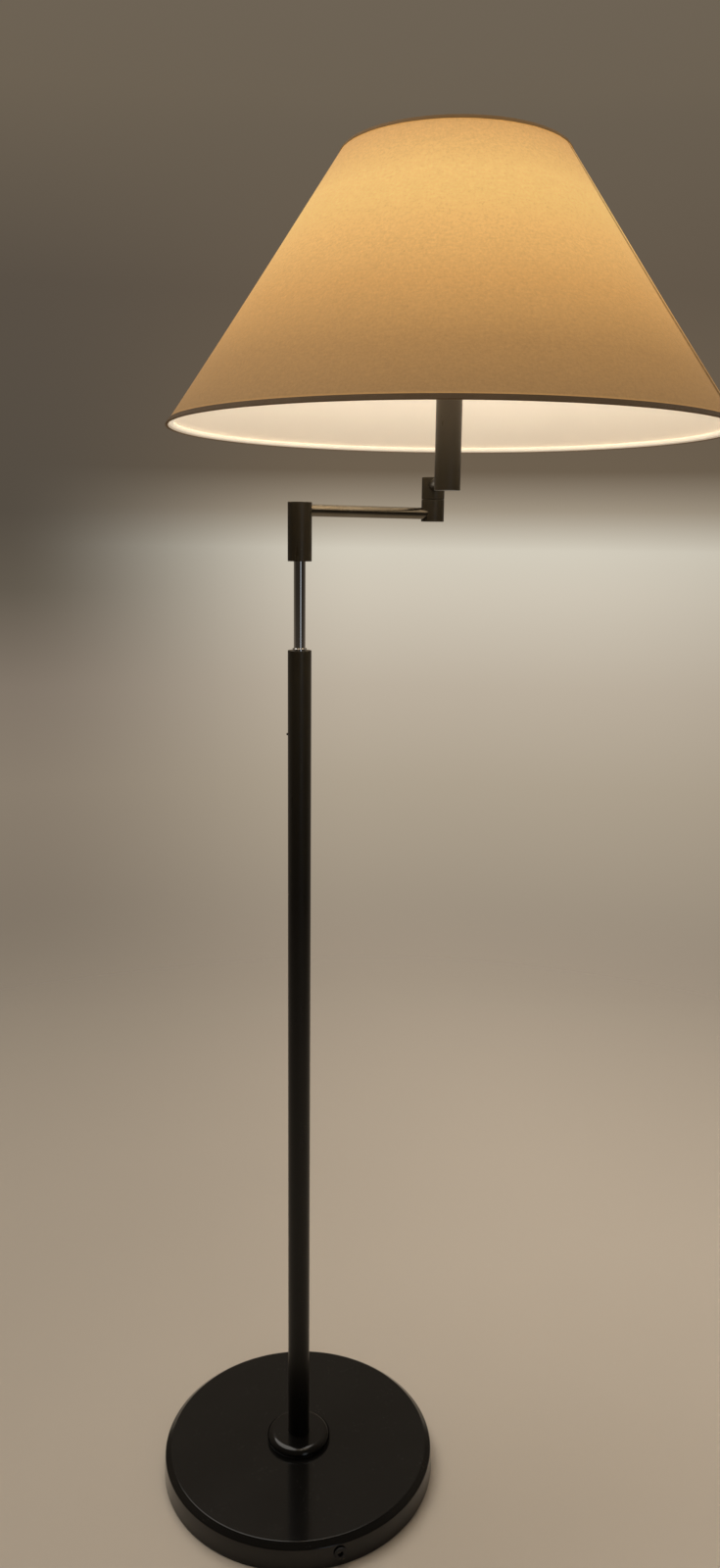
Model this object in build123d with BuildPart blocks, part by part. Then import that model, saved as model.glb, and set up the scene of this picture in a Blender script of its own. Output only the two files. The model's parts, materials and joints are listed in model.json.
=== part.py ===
from build123d import *
from math import cos, hypot, radians, sin, sqrt
import os

# Swing-arm floor lamp. Millimetres, +Z up.
# The origin is the centre of the base's underside, on the floor. +X is the lamp's right.

os.makedirs("parts", exist_ok=True)

# ---------------------------------------------------------------- driving dimensions

FIT = 0.05  # radial gap of a running or seated fit
SHELL_GAP = 0.4  # gap between shells that turn past each other

# base
BASE_R = 170.0
BASE_TOP_Z = 33.0
BASE_EDGE_R = 6.0
BASE_WALL = 1.5
FELT_T = 1.5
PLATE_T = 3.0
WEIGHT_R = 160.0
WEIGHT_T = 12.0
COLLAR_R = 39.5
COLLAR_H = 11.0
COLLAR_EDGE_R = 9.0
STUD_R = 6.0
NUT_FLATS = 19.0
NUT_T = 6.0
WASHER_R = 14.0
WASHER_T = 1.5
FOOT_PLUG_L = 25.0  # how far the foot's plug reaches up inside the pole
STUD_PROUD = 1.0
STUD_WALL = 2.0
GLAND_ANGLE = -73.6
GLAND_Z = 17.0
GLAND_BORE_R = 3.5
GLAND_NECK_R = 4.9
GLAND_NECK_L = 5.0
GLAND_FLANGE_R = 7.5
GLAND_FLANGE_T = 1.8
GLAND_FLANGE_EDGE_R = 1.2
GLAND_LIP_R = 7.0
GLAND_LIP_T = 2.0
GLAND_LIP_GAP = 0.4  # between the cover's wall and the lip inside it

# pole and height slide
BLACK_R = 13.2  # every black cylinder has this radius
POLE_WALL = 1.5
POLE_TOP_Z = 1038.0
CHROME_R = 6.5  # every chrome tube has this radius
CHROME_WALL = 1.5
TOP_BUSH_L = 30.0
TOP_BUSH_BOSS_R = 8.0
TOP_BUSH_BOSS_H = 2.5
TOP_BUSH_CHAMFER = 0.5
SLEEVE_Z = 944.0  # middle of the friction sleeve and its screw
SLEEVE_L = 30.0
SLEEVE_SLIT = 2.0
SCREW_R = 1.35
SCREW_PROUD = 1.4
SCREW_TIP_GAP = 0.9  # between the screw's tip and the tube's bore
SCREW_SLOT_W = 0.5
SCREW_SLOT_DEPTH = 0.7
RISE = 250.0  # upward travel
STOP_L = 14.0
STOP_GAP = 0.5  # between the stop and the sleeve at full height
STOP_LIP = 2.0  # the stop's lip under the tube's end
SIDE_GAP = 0.4  # radial gap of the stop and the pivot's flange
RUN_GAP = 0.1  # upright gap between turning faces
FLANGE_T = 4.0
FLANGE_PLUG_L = 12.0
THRUST_WASHER_T = 1.0

# hub, arms and elbow
ARM_L = 180.0
ARM_1_ANGLE = 30.8
ARM_2_ANGLE = -91.8
HUB_BOTTOM_Z = 1135.0
HUB_TOP_Z = 1198.0
SHELL_WALL = 2.5
CORE_R = BLACK_R - SHELL_WALL - FIT
HUB_BUSH_L = 23.9
ARM_1_Z = 1189.5
ARM_2_Z = 1221.5
ELBOW_BOTTOM_Z = 1180.5
ELBOW_TOP_Z = 1230.5
PIVOT_R = 4.95
LEAD_R = 3.0  # bore for the lead through studs and pivots
LEAD_WAY_R = 4.0  # wider way for the lead where it turns a corner
THREAD_R = 4.9
STUD_END = 22.0  # distance of a stud's far end from the upright axis
STUD_SEAT = 4.6
ELBOW_STUD_SEAT = 5.6  # clear of the pivot

# upright tube and lamp holder
HOLDER_BOTTOM_Z = 1208.5
HOLDER_TOP_Z = 1363.0
HOLDER_WALL = 1.5
SOCKET_R = 19.5
SOCKET_NECK_R = 13.5
SOCKET_WALL = 2.0
SOCKET_SPLIT_Z = HOLDER_TOP_Z + 21.0
SOCKET_TOP_Z = HOLDER_TOP_Z + 51.0
CARRIER_Z = HOLDER_TOP_Z + 38.0
CARRIER_T = 2.0
CARRIER_R = 33.0
RING_R = 28.0
RING_SKIRT_R = 22.0
BULB_R = 30.0
BULB_NECK_R = 12.6
BULB_CENTRE_Z = SOCKET_TOP_Z + 46.0
BULB_GLASS_T = 1.0

# shade
SHADE_BOTTOM_Z = 1265.4
SHADE_H = 255.0
SHADE_BOTTOM_R = 280.0
SHADE_TOP_R = 110.0
SKIN_T = 1.2  # measured level, so the laminate is about 1 mm thick
WIRE_R = 1.5
WIRE_INSET = 3.0  # upright distance of a wire ring from the skin's edge
TRIM_T = 0.5
BOTTOM_TRIM_H = 4.5
TOP_TRIM_H = 3.0
ROD_ANGLES = (90, 210, 330)
ROD_FOOT_R = 31.0

# ---------------------------------------------------------------- derived places

HUB = (0.0, 0.0)
ARM_1_DIR = Vector(cos(radians(ARM_1_ANGLE)), sin(radians(ARM_1_ANGLE)), 0)
ARM_2_DIR = Vector(cos(radians(ARM_2_ANGLE)), sin(radians(ARM_2_ANGLE)), 0)
ELBOW = (ARM_L * ARM_1_DIR.X, ARM_L * ARM_1_DIR.Y)
HOLDER = (ELBOW[0] + ARM_L * ARM_2_DIR.X, ELBOW[1] + ARM_L * ARM_2_DIR.Y)
GLAND_DIR = Vector(cos(radians(GLAND_ANGLE)), sin(radians(GLAND_ANGLE)), 0)

BASE_CEILING_Z = BASE_TOP_Z - BASE_WALL
POLE_BORE_R = BLACK_R - POLE_WALL
POLE_FILL_R = POLE_BORE_R - FIT
SLIDE_BORE_R = CHROME_R + FIT
CHROME_BORE_R = CHROME_R - CHROME_WALL
ARM_HOLE_R = CHROME_R + FIT
ARM_SEAT = BLACK_R - SHELL_WALL  # distance from an upright axis to an arm tube's end
SHADE_SLOPE = (SHADE_BOTTOM_R - SHADE_TOP_R) / SHADE_H
SHADE_TOP_Z = SHADE_BOTTOM_Z + SHADE_H
SLANT = hypot(1, SHADE_SLOPE)  # level distance to the cone per millimetre of square distance


# ---------------------------------------------------------------- helpers


def keep(builder, name):
    """Labels a finished piece and writes its STEP file."""
    builder.part.label = name
    export_step(builder.part, f"parts/{name}.step")


def level(axis, z):
    """The level plane at height z, centred on an upright axis."""
    return Plane((axis[0], axis[1], z))


def outward(axis, z, direction, distance=0.0):
    """The upright plane that faces along direction, a distance out from an axis."""
    origin = Vector(axis[0], axis[1], z) + direction * distance
    return Plane(origin, z_dir=direction)


def ring(name, axis, outer_r, inner_r, z_low, z_high):
    """A plain turned ring or tube on an upright axis."""
    with BuildPart() as piece:
        with BuildSketch(level(axis, z_low)):
            Circle(outer_r)
            Circle(inner_r, mode=Mode.SUBTRACT)
        extrude(amount=z_high - z_low)
    keep(piece, name)


def turned(name, axis, points):
    """A piece turned from a closed outline of (radius, height) corners."""
    section = Plane((axis[0], axis[1], 0), x_dir=(1, 0, 0), z_dir=(0, -1, 0))
    with BuildPart() as piece:
        with BuildSketch(section):
            with BuildLine():
                Polyline(*points, close=True)
            make_face()
        revolve(axis=Axis((axis[0], axis[1], 0), (0, 0, 1)))
    keep(piece, name)


def arm_tube(name, start_axis, direction, z):
    """A chrome arm tube between two cores."""
    with BuildPart() as piece:
        with BuildSketch(outward(start_axis, z, direction, ARM_SEAT)):
            Circle(CHROME_R)
            Circle(CHROME_BORE_R, mode=Mode.SUBTRACT)
        extrude(amount=ARM_L - 2 * ARM_SEAT)
    keep(piece, name)


def arm_studs(name, start_axis, direction, z, start_seat, end_seat):
    """The two hollow threaded studs that hold an arm tube to its cores."""
    with BuildPart() as piece:
        for first, last in ((start_seat, STUD_END), (ARM_L - STUD_END, ARM_L - end_seat)):
            with BuildSketch(outward(start_axis, z, direction, first)):
                Circle(THREAD_R)
                Circle(LEAD_R, mode=Mode.SUBTRACT)
            extrude(amount=last - first)
    keep(piece, name)


def cone_r(z):
    """The outer radius of the shade at a height."""
    return SHADE_BOTTOM_R - SHADE_SLOPE * (z - SHADE_BOTTOM_Z)


# ---------------------------------------------------------------- base

with BuildPart() as base_felt:
    with BuildSketch(Plane.XY):
        Circle(BASE_R - BASE_WALL / 2)
    extrude(amount=FELT_T)
keep(base_felt, "base_felt")

with BuildPart() as bottom_plate:
    with BuildSketch(Plane.XY.offset(FELT_T)):
        Circle(BASE_R - BASE_WALL - 2 * FIT)
    extrude(amount=PLATE_T)
keep(bottom_plate, "bottom_plate")

with BuildPart() as base_cover:
    with BuildSketch(Plane.XY.offset(FELT_T)):
        Circle(BASE_R)
    extrude(amount=BASE_TOP_Z - FELT_T)
    fillet(base_cover.edges().group_by(Axis.Z)[-1], radius=BASE_EDGE_R)
    offset(amount=-BASE_WALL, openings=base_cover.faces().sort_by(Axis.Z)[0])
    with BuildSketch(Plane.XY.offset(BASE_TOP_Z)):
        Circle(STUD_R + 2 * FIT)
    extrude(amount=-2 * BASE_WALL, mode=Mode.SUBTRACT)
    with BuildSketch(outward(HUB, GLAND_Z, GLAND_DIR, BASE_R - 2 * BASE_WALL)):
        Circle(GLAND_NECK_R + 2 * FIT)
    extrude(amount=4 * BASE_WALL, mode=Mode.SUBTRACT)
keep(base_cover, "base_cover")

ring("base_weight", HUB, WEIGHT_R, STUD_R + 2 * FIT, BASE_CEILING_Z - WEIGHT_T, BASE_CEILING_Z)

with BuildPart() as base_collar:
    with BuildSketch(Plane.XY.offset(BASE_TOP_Z)):
        Circle(COLLAR_R)
    extrude(amount=COLLAR_H)
    fillet(base_collar.edges().group_by(Axis.Z)[-1], radius=COLLAR_EDGE_R)
    with BuildSketch(Plane.XY.offset(BASE_TOP_Z)):
        Circle(BLACK_R + FIT)
    extrude(amount=COLLAR_H, mode=Mode.SUBTRACT)
keep(base_collar, "base_collar")

with BuildPart() as cord_gland:
    lip_distance = BASE_R - BASE_WALL - GLAND_LIP_GAP - GLAND_LIP_T
    lip_inner = outward(HUB, GLAND_Z, GLAND_DIR, lip_distance)
    with BuildSketch(lip_inner):
        Circle(GLAND_LIP_R)
    extrude(amount=GLAND_LIP_T)
    with BuildSketch(lip_inner):
        Circle(GLAND_NECK_R)
    extrude(amount=GLAND_NECK_L)
    with BuildSketch(outward(HUB, GLAND_Z, GLAND_DIR, BASE_R + FIT)):
        Circle(GLAND_FLANGE_R)
    extrude(amount=GLAND_FLANGE_T)
    gland_axis = Axis((0, 0, GLAND_Z), tuple(GLAND_DIR))
    front_edge = cord_gland.edges().filter_by(GeomType.CIRCLE).sort_by(gland_axis)[-1]
    fillet(front_edge, radius=GLAND_FLANGE_EDGE_R)
    with BuildSketch(lip_inner):
        Circle(GLAND_BORE_R)
    extrude(amount=2 * GLAND_NECK_L, mode=Mode.SUBTRACT)
keep(cord_gland, "cord_gland")

# ---------------------------------------------------------------- pole

weight_bottom = BASE_CEILING_Z - WEIGHT_T
nut_top = weight_bottom - WASHER_T

with BuildPart() as pole_foot:
    with BuildSketch(Plane.XY.offset(BASE_TOP_Z)):
        Circle(POLE_FILL_R)
    extrude(amount=FOOT_PLUG_L)
    with BuildSketch(Plane.XY.offset(nut_top - NUT_T - STUD_PROUD)):
        Circle(STUD_R)
    extrude(until=Until.NEXT)
    with BuildSketch(Plane.XY):
        Circle(STUD_R - STUD_WALL)
    extrude(amount=BASE_TOP_Z + FOOT_PLUG_L, mode=Mode.SUBTRACT)
keep(pole_foot, "pole_foot")

ring("foot_washer", HUB, WASHER_R, STUD_R + 2 * FIT, nut_top, weight_bottom)

with BuildPart() as foot_nut:
    with BuildSketch(Plane.XY.offset(nut_top - NUT_T)):
        RegularPolygon(NUT_FLATS / 2, 6, major_radius=False)
        Circle(STUD_R + FIT, mode=Mode.SUBTRACT)
    extrude(amount=NUT_T)
keep(foot_nut, "foot_nut")

with BuildPart() as pole_tube:
    with BuildSketch(Plane.XY.offset(BASE_TOP_Z)):
        Circle(BLACK_R)
        Circle(POLE_BORE_R, mode=Mode.SUBTRACT)
    extrude(amount=POLE_TOP_Z - BASE_TOP_Z)
    with BuildSketch(outward(HUB, SLEEVE_Z, Vector(-1, 0, 0))):
        Circle(SCREW_R + 2 * FIT)
    extrude(amount=2 * BLACK_R, mode=Mode.SUBTRACT)
keep(pole_tube, "pole_tube")

turned("top_bush", HUB, [
    (SLIDE_BORE_R, POLE_TOP_Z - TOP_BUSH_L),
    (POLE_FILL_R, POLE_TOP_Z - TOP_BUSH_L),
    (POLE_FILL_R, POLE_TOP_Z),
    (TOP_BUSH_BOSS_R, POLE_TOP_Z),
    (TOP_BUSH_BOSS_R, POLE_TOP_Z + TOP_BUSH_BOSS_H - TOP_BUSH_CHAMFER),
    (TOP_BUSH_BOSS_R - TOP_BUSH_CHAMFER, POLE_TOP_Z + TOP_BUSH_BOSS_H),
    (SLIDE_BORE_R, POLE_TOP_Z + TOP_BUSH_BOSS_H),
])

screw_tip = SLIDE_BORE_R + SCREW_TIP_GAP  # distance of the screw's tip from the pole's axis
with BuildPart() as friction_sleeve:
    with BuildSketch(Plane.XY.offset(SLEEVE_Z - SLEEVE_L / 2)):
        Circle(POLE_FILL_R)
        Circle(SLIDE_BORE_R, mode=Mode.SUBTRACT)
        with Locations((POLE_FILL_R, 0)):
            Rectangle(POLE_FILL_R, SLEEVE_SLIT, mode=Mode.SUBTRACT)
    extrude(amount=SLEEVE_L)
    with BuildSketch(outward(HUB, SLEEVE_Z, Vector(-1, 0, 0), screw_tip)):
        Circle(SCREW_R + FIT)
    extrude(amount=POLE_FILL_R, mode=Mode.SUBTRACT)
keep(friction_sleeve, "friction_sleeve")

with BuildPart() as sleeve_screw:
    with BuildSketch(outward(HUB, SLEEVE_Z, Vector(-1, 0, 0), screw_tip)):
        Circle(SCREW_R)
    extrude(amount=BLACK_R + SCREW_PROUD - screw_tip)
    with BuildSketch(outward(HUB, SLEEVE_Z, Vector(-1, 0, 0), BLACK_R + SCREW_PROUD - SCREW_SLOT_DEPTH)):
        Rectangle(SCREW_SLOT_W, 4 * SCREW_R)
    extrude(amount=2 * SCREW_SLOT_DEPTH, mode=Mode.SUBTRACT)
keep(sleeve_screw, "sleeve_screw")

# ---------------------------------------------------------------- riser

stop_top = SLEEVE_Z - SLEEVE_L / 2 - RISE - STOP_GAP
stop_bottom = stop_top - STOP_L
tube_bottom = stop_bottom + STOP_LIP
flange_bottom = HUB_BOTTOM_Z + HUB_BUSH_L + RUN_GAP
flange_top = flange_bottom + FLANGE_T
washer_top = flange_top + THRUST_WASHER_T

ring("inner_tube", HUB, CHROME_R, CHROME_BORE_R, tube_bottom, flange_bottom)

turned("stop_ring", HUB, [
    (CHROME_BORE_R, stop_bottom),
    (POLE_BORE_R - SIDE_GAP, stop_bottom),
    (POLE_BORE_R - SIDE_GAP, stop_top),
    (SLIDE_BORE_R, stop_top),
    (SLIDE_BORE_R, tube_bottom),
    (CHROME_BORE_R, tube_bottom),
])

turned("pivot_flange", HUB, [
    (LEAD_R, flange_bottom - FLANGE_PLUG_L),
    (CHROME_BORE_R - FIT, flange_bottom - FLANGE_PLUG_L),
    (CHROME_BORE_R - FIT, flange_bottom),
    (CORE_R - SIDE_GAP, flange_bottom),
    (CORE_R - SIDE_GAP, flange_top),
    (LEAD_R, flange_top),
])

ring("thrust_washer", HUB, CORE_R - SIDE_GAP, LEAD_WAY_R, flange_top, washer_top)

# ---------------------------------------------------------------- hub

with BuildPart() as hub_shell:
    with BuildSketch(level(HUB, HUB_BOTTOM_Z)):
        Circle(BLACK_R)
    extrude(amount=HUB_TOP_Z - HUB_BOTTOM_Z)
    with BuildSketch(level(HUB, HUB_BOTTOM_Z)):
        Circle(BLACK_R - SHELL_WALL)
    extrude(amount=HUB_TOP_Z - HUB_BOTTOM_Z - SHELL_WALL, mode=Mode.SUBTRACT)
    with BuildSketch(outward(HUB, ARM_1_Z, ARM_1_DIR)):
        Circle(ARM_HOLE_R)
    extrude(amount=2 * BLACK_R, mode=Mode.SUBTRACT)
keep(hub_shell, "hub_shell")

ring("hub_bush", HUB, CORE_R, SLIDE_BORE_R, HUB_BOTTOM_Z, HUB_BOTTOM_Z + HUB_BUSH_L)

with BuildPart() as hub_core:
    with BuildSketch(level(HUB, washer_top + RUN_GAP)):
        Circle(CORE_R)
    extrude(amount=HUB_TOP_Z - SHELL_WALL - washer_top - RUN_GAP)
    with BuildSketch(level(HUB, washer_top)):
        Circle(LEAD_WAY_R)
    extrude(amount=ARM_1_Z - washer_top, mode=Mode.SUBTRACT)
    with BuildSketch(outward(HUB, ARM_1_Z, ARM_1_DIR)):
        Circle(THREAD_R + FIT)
    extrude(amount=BLACK_R, mode=Mode.SUBTRACT)
keep(hub_core, "hub_core")

# ---------------------------------------------------------------- first arm and lower elbow

ELBOW_MIDDLE_Z = (ELBOW_BOTTOM_Z + ELBOW_TOP_Z) / 2
LOWER_SHELL_TOP_Z = ELBOW_MIDDLE_Z - SHELL_GAP / 2
UPPER_SHELL_BOTTOM_Z = ELBOW_MIDDLE_Z + SHELL_GAP / 2
ELBOW_WASHER_T = 1.0
LOWER_CORE_TOP_Z = ELBOW_MIDDLE_Z - 0.8
UPPER_CORE_BOTTOM_Z = LOWER_CORE_TOP_Z + ELBOW_WASHER_T + FIT
NUT_SEAT_Z = UPPER_CORE_BOTTOM_Z + 7.0
PIVOT_BOTTOM_Z = ARM_1_Z + 5.5
SPRING_WASHER_R = 6.8
SPRING_WASHER_T = 0.8
ELBOW_NUT_T = 2.8
ELBOW_NUT_FLATS = 12.0
CHAMBER_R = 7.6

arm_tube("first_arm_tube", HUB, ARM_1_DIR, ARM_1_Z)
arm_studs("first_arm_studs", HUB, ARM_1_DIR, ARM_1_Z, STUD_SEAT, ELBOW_STUD_SEAT)

with BuildPart() as elbow_lower_shell:
    with BuildSketch(level(ELBOW, ELBOW_BOTTOM_Z)):
        Circle(BLACK_R)
    extrude(amount=LOWER_SHELL_TOP_Z - ELBOW_BOTTOM_Z)
    with BuildSketch(level(ELBOW, ELBOW_BOTTOM_Z + SHELL_WALL)):
        Circle(BLACK_R - SHELL_WALL)
    extrude(amount=ELBOW_TOP_Z - ELBOW_BOTTOM_Z, mode=Mode.SUBTRACT)
    with BuildSketch(outward(ELBOW, ARM_1_Z, -ARM_1_DIR)):
        Circle(ARM_HOLE_R)
    extrude(amount=2 * BLACK_R, mode=Mode.SUBTRACT)
keep(elbow_lower_shell, "elbow_lower_shell")

with BuildPart() as elbow_lower_core:
    with BuildSketch(level(ELBOW, ELBOW_BOTTOM_Z + SHELL_WALL)):
        Circle(CORE_R)
    extrude(amount=LOWER_CORE_TOP_Z - ELBOW_BOTTOM_Z - SHELL_WALL)
    with BuildSketch(level(ELBOW, ARM_1_Z)):
        Circle(PIVOT_R + FIT)
    extrude(amount=LOWER_CORE_TOP_Z - ARM_1_Z, mode=Mode.SUBTRACT)
    with BuildSketch(outward(ELBOW, ARM_1_Z, -ARM_1_DIR)):
        Circle(THREAD_R + FIT)
    extrude(amount=BLACK_R, mode=Mode.SUBTRACT)
keep(elbow_lower_core, "elbow_lower_core")

nut_bottom = NUT_SEAT_Z + SPRING_WASHER_T
washer_bore_r = PIVOT_R + 2 * FIT
washer_top_z = LOWER_CORE_TOP_Z + ELBOW_WASHER_T
ring("elbow_pivot", ELBOW, PIVOT_R, LEAD_R, PIVOT_BOTTOM_Z, nut_bottom + ELBOW_NUT_T)
ring("elbow_washer", ELBOW, CORE_R - SIDE_GAP, washer_bore_r, LOWER_CORE_TOP_Z, washer_top_z)
ring("elbow_spring_washer", ELBOW, SPRING_WASHER_R, washer_bore_r, NUT_SEAT_Z + FIT, nut_bottom)

with BuildPart() as elbow_nut:
    with BuildSketch(level(ELBOW, nut_bottom)):
        RegularPolygon(ELBOW_NUT_FLATS / 2, 6, major_radius=False)
        Circle(PIVOT_R + FIT, mode=Mode.SUBTRACT)
    extrude(amount=ELBOW_NUT_T)
keep(elbow_nut, "elbow_nut")

# ---------------------------------------------------------------- upper elbow and second arm

with BuildPart() as elbow_upper_shell:
    with BuildSketch(level(ELBOW, UPPER_SHELL_BOTTOM_Z)):
        Circle(BLACK_R)
    extrude(amount=ELBOW_TOP_Z - UPPER_SHELL_BOTTOM_Z)
    with BuildSketch(level(ELBOW, UPPER_SHELL_BOTTOM_Z)):
        Circle(BLACK_R - SHELL_WALL)
    extrude(amount=ELBOW_TOP_Z - UPPER_SHELL_BOTTOM_Z - SHELL_WALL, mode=Mode.SUBTRACT)
    with BuildSketch(outward(ELBOW, ARM_2_Z, ARM_2_DIR)):
        Circle(ARM_HOLE_R)
    extrude(amount=2 * BLACK_R, mode=Mode.SUBTRACT)
keep(elbow_upper_shell, "elbow_upper_shell")

with BuildPart() as elbow_upper_core:
    with BuildSketch(level(ELBOW, UPPER_CORE_BOTTOM_Z)):
        Circle(CORE_R)
        Circle(PIVOT_R + FIT, mode=Mode.SUBTRACT)
    extrude(amount=ELBOW_TOP_Z - SHELL_WALL - UPPER_CORE_BOTTOM_Z)
    with BuildSketch(level(ELBOW, NUT_SEAT_Z)):
        Circle(CHAMBER_R)
    extrude(amount=ELBOW_TOP_Z - NUT_SEAT_Z, mode=Mode.SUBTRACT)
    with BuildSketch(outward(ELBOW, ARM_2_Z, ARM_2_DIR)):
        Circle(THREAD_R + FIT)
    extrude(amount=BLACK_R, mode=Mode.SUBTRACT)
keep(elbow_upper_core, "elbow_upper_core")

arm_tube("second_arm_tube", ELBOW, ARM_2_DIR, ARM_2_Z)
arm_studs("second_arm_studs", ELBOW, ARM_2_DIR, ARM_2_Z, CHAMBER_R, STUD_SEAT)

# ---------------------------------------------------------------- upright tube

HOLDER_BORE_R = BLACK_R - HOLDER_WALL
CAP_T = 2.5
CORE_TOP_Z = ARM_2_Z + 10.5
PLUG_BOTTOM_Z = HOLDER_TOP_Z - 10.0
NIPPLE_BOTTOM_Z = PLUG_BOTTOM_Z - 3.0
NIPPLE_TOP_Z = HOLDER_TOP_Z + 6.0

with BuildPart() as holder_tube:
    with BuildSketch(level(HOLDER, HOLDER_BOTTOM_Z)):
        Circle(BLACK_R)
        Circle(HOLDER_BORE_R, mode=Mode.SUBTRACT)
    extrude(amount=HOLDER_TOP_Z - HOLDER_BOTTOM_Z)
    with BuildSketch(outward(HOLDER, ARM_2_Z, -ARM_2_DIR)):
        Circle(ARM_HOLE_R)
    extrude(amount=2 * BLACK_R, mode=Mode.SUBTRACT)
keep(holder_tube, "holder_tube")

with BuildPart() as holder_tube_cap:
    with BuildSketch(level(HOLDER, HOLDER_BOTTOM_Z)):
        Circle(HOLDER_BORE_R - FIT)
    extrude(amount=CAP_T)
keep(holder_tube_cap, "holder_tube_cap")

with BuildPart() as holder_tube_core:
    with BuildSketch(level(HOLDER, HOLDER_BOTTOM_Z + CAP_T)):
        Circle(HOLDER_BORE_R - FIT)
    extrude(amount=CORE_TOP_Z - HOLDER_BOTTOM_Z - CAP_T)
    with BuildSketch(outward(HOLDER, ARM_2_Z, -ARM_2_DIR, ARM_SEAT - FIT)):
        Circle(ARM_HOLE_R)
    extrude(amount=BLACK_R, mode=Mode.SUBTRACT)
    with BuildSketch(level(HOLDER, ARM_2_Z)):
        Circle(LEAD_WAY_R)
    extrude(amount=CORE_TOP_Z - ARM_2_Z, mode=Mode.SUBTRACT)
    with BuildSketch(outward(HOLDER, ARM_2_Z, -ARM_2_DIR)):
        Circle(THREAD_R + FIT)
    extrude(amount=BLACK_R, mode=Mode.SUBTRACT)
keep(holder_tube_core, "holder_tube_core")

ring("holder_tube_plug", HOLDER, HOLDER_BORE_R - FIT, THREAD_R + FIT, PLUG_BOTTOM_Z, HOLDER_TOP_Z)
ring("holder_nipple", HOLDER, THREAD_R, LEAD_R, NIPPLE_BOTTOM_Z, NIPPLE_TOP_Z)

# ---------------------------------------------------------------- lamp holder

SOCKET_BORE_R = SOCKET_R - SOCKET_WALL
SOCKET_NECK_TOP_Z = HOLDER_TOP_Z + 6.0
SOCKET_SHOULDER_Z = SOCKET_SPLIT_Z - 5.0
SOCKET_FLOOR_T = 2.5
SHOULDER_DROP = 1.0  # how much higher the shoulder lies inside than outside
SOCKET_CHAMFER = 1.0
INSERT_BORE_R = 2.0
INSERT_FOOT_R = 8.0
INSERT_BOTTOM_Z = HOLDER_TOP_Z + 11.0
INSERT_SHELF_Z = SOCKET_SPLIT_Z - 3.0
INSERT_TOP_Z = SOCKET_SPLIT_Z + 4.0
SCREW_SHELL_R = 14.3
SCREW_SHELL_WALL = 0.6
CONTACT_T = 0.8
CONTACT_L = 18.0
CONTACT_W = 5.0
RING_BORE_R = SOCKET_R + 2 * FIT
RING_FLANGE_T = 3.0
LOWER_RING_L = 10.0
UPPER_RING_L = 8.0

turned("socket_base", HOLDER, [
    (THREAD_R + FIT, HOLDER_TOP_Z),
    (SOCKET_NECK_R, HOLDER_TOP_Z),
    (SOCKET_NECK_R, SOCKET_NECK_TOP_Z),
    (SOCKET_R, SOCKET_SHOULDER_Z),
    (SOCKET_R, SOCKET_SPLIT_Z),
    (SOCKET_BORE_R, SOCKET_SPLIT_Z),
    (SOCKET_BORE_R, SOCKET_SHOULDER_Z + SHOULDER_DROP),
    (SOCKET_NECK_R - SOCKET_WALL, SOCKET_NECK_TOP_Z + SHOULDER_DROP),
    (SOCKET_NECK_R - SOCKET_WALL, HOLDER_TOP_Z + SOCKET_FLOOR_T),
    (THREAD_R + FIT, HOLDER_TOP_Z + SOCKET_FLOOR_T),
])

turned("socket_shell", HOLDER, [
    (SOCKET_BORE_R, SOCKET_SPLIT_Z),
    (SOCKET_R, SOCKET_SPLIT_Z),
    (SOCKET_R, SOCKET_TOP_Z - SOCKET_CHAMFER),
    (SOCKET_R - SOCKET_CHAMFER, SOCKET_TOP_Z),
    (SCREW_SHELL_R, SOCKET_TOP_Z),
    (SCREW_SHELL_R, SOCKET_TOP_Z - SOCKET_WALL),
    (SOCKET_BORE_R, SOCKET_TOP_Z - SOCKET_WALL),
])

insert_r = SOCKET_BORE_R - 4 * FIT
turned("socket_insert", HOLDER, [
    (INSERT_BORE_R, INSERT_BOTTOM_Z),
    (INSERT_FOOT_R, INSERT_BOTTOM_Z),
    (INSERT_FOOT_R, INSERT_SHELF_Z),
    (insert_r, INSERT_SHELF_Z),
    (insert_r, INSERT_TOP_Z),
    (INSERT_BORE_R, INSERT_TOP_Z),
])

screw_shell_top = SOCKET_TOP_Z - SOCKET_WALL - SOCKET_CHAMFER
screw_shell_bore = SCREW_SHELL_R - SCREW_SHELL_WALL
ring("socket_screw_shell", HOLDER, SCREW_SHELL_R, screw_shell_bore, INSERT_TOP_Z, screw_shell_top)

with BuildPart() as socket_contact:
    with BuildSketch(level(HOLDER, INSERT_TOP_Z)):
        SlotOverall(CONTACT_L, CONTACT_W)
    extrude(amount=CONTACT_T)
keep(socket_contact, "socket_contact")

lower_ring_bottom = CARRIER_Z - LOWER_RING_L
turned("shade_ring_lower", HOLDER, [
    (RING_BORE_R, lower_ring_bottom),
    (RING_SKIRT_R, lower_ring_bottom),
    (RING_SKIRT_R, CARRIER_Z - RING_FLANGE_T),
    (RING_R, CARRIER_Z - RING_FLANGE_T),
    (RING_R, CARRIER_Z),
    (RING_BORE_R, CARRIER_Z),
])

upper_ring_bottom = CARRIER_Z + CARRIER_T
upper_ring_top = upper_ring_bottom + UPPER_RING_L
turned("shade_ring_upper", HOLDER, [
    (RING_BORE_R, upper_ring_bottom),
    (RING_R, upper_ring_bottom),
    (RING_R, upper_ring_bottom + RING_FLANGE_T),
    (RING_SKIRT_R, upper_ring_bottom + RING_FLANGE_T),
    (RING_SKIRT_R, upper_ring_top),
    (RING_BORE_R, upper_ring_top),
])

# ---------------------------------------------------------------- bulb

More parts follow.
